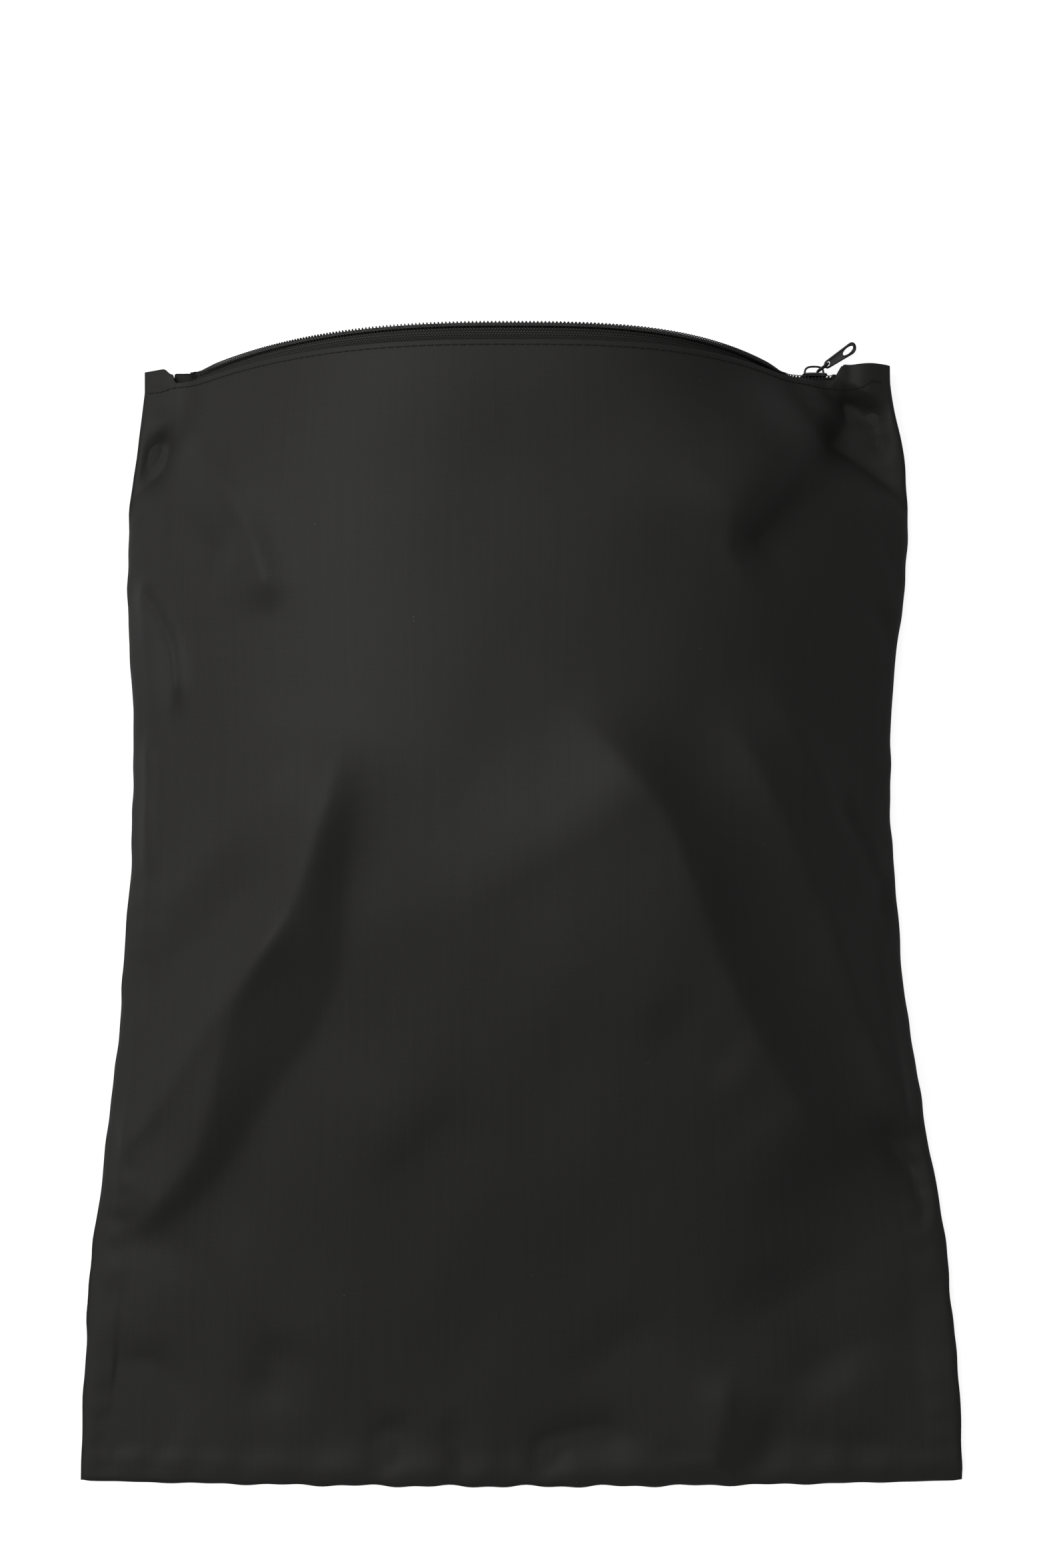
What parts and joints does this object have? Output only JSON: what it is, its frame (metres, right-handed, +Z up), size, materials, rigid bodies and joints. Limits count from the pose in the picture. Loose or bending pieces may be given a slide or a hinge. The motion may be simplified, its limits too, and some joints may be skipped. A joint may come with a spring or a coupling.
{
  "type": "shoe bag",
  "caption": "Flat zip shoe bag in black woven fabric, lying on its back with the mouth open and the front panel raised.",
  "frame": {"origin": "on the back panel's flat underside, at the middle of the bag's plan outline", "axes": "+X along the zip towards the slider's open end, +Y towards the mouth, +Z up out of the front panel"},
  "size_m": [0.3616, 0.4661, 0.0914],
  "materials": {
    "front_fabric": "fine plain-weave nylon, slight sheen",
    "back_fabric": "fine plain-weave nylon, slight sheen",
    "seam_allowance": "overlocked raw edges",
    "zipper_tape": "herringbone woven polyester tape",
    "coil": "nylon monofilament, satin",
    "thread": "twisted polyester thread",
    "end_tab": "fine plain-weave nylon",
    "slider_enamel": "black enamel, satin gloss, worn edges",
    "link_enamel": "black enamel, satin gloss, worn edges",
    "tab_enamel": "black enamel, satin gloss, worn edges"
  },
  "bodies": {
    "bag": {"front_panel": "front_fabric", "back_panel": "back_fabric", "left_side_seam": "seam_allowance", "right_side_seam": "seam_allowance", "bottom_seam": "seam_allowance", "front_zipper_tape": "zipper_tape", "back_zipper_tape": "zipper_tape", "front_coil": "coil", "back_coil": "coil", "front_topstitch": "thread", "back_topstitch": "thread", "left_bar_tack_1": "thread", "left_bar_tack_2": "thread", "right_bar_tack_1": "thread", "right_bar_tack_2": "thread", "left_end_tab": "end_tab", "right_end_tab": "end_tab"},
    "slider": {"slider_body": "slider_enamel", "slider_bridge": "slider_enamel"},
    "pull_link": {"pull_link": "link_enamel"},
    "pull_tab": {"pull_tab": "tab_enamel"}
  },
  "joints": [
    {"name": "slider_slide", "type": "slide", "parent": "bag", "child": "slider", "axis": [-1, 0, 0], "range_m": [0, 0.243], "deforming": ["front_coil", "front_zipper_tape"]},
    {"name": "link_swing", "type": "hinge", "parent": "slider", "child": "pull_link", "pos_m": [0.1226, 0.22635, 0.0065], "axis": [0, 0, 1], "range_deg": [-12, 75]},
    {"name": "tab_swing", "type": "hinge", "parent": "pull_link", "child": "pull_tab", "pos_m": [0.1267, 0.22922, 0.0065], "axis": [0, 0, 1], "range_deg": [-5, 60]}
  ]
}
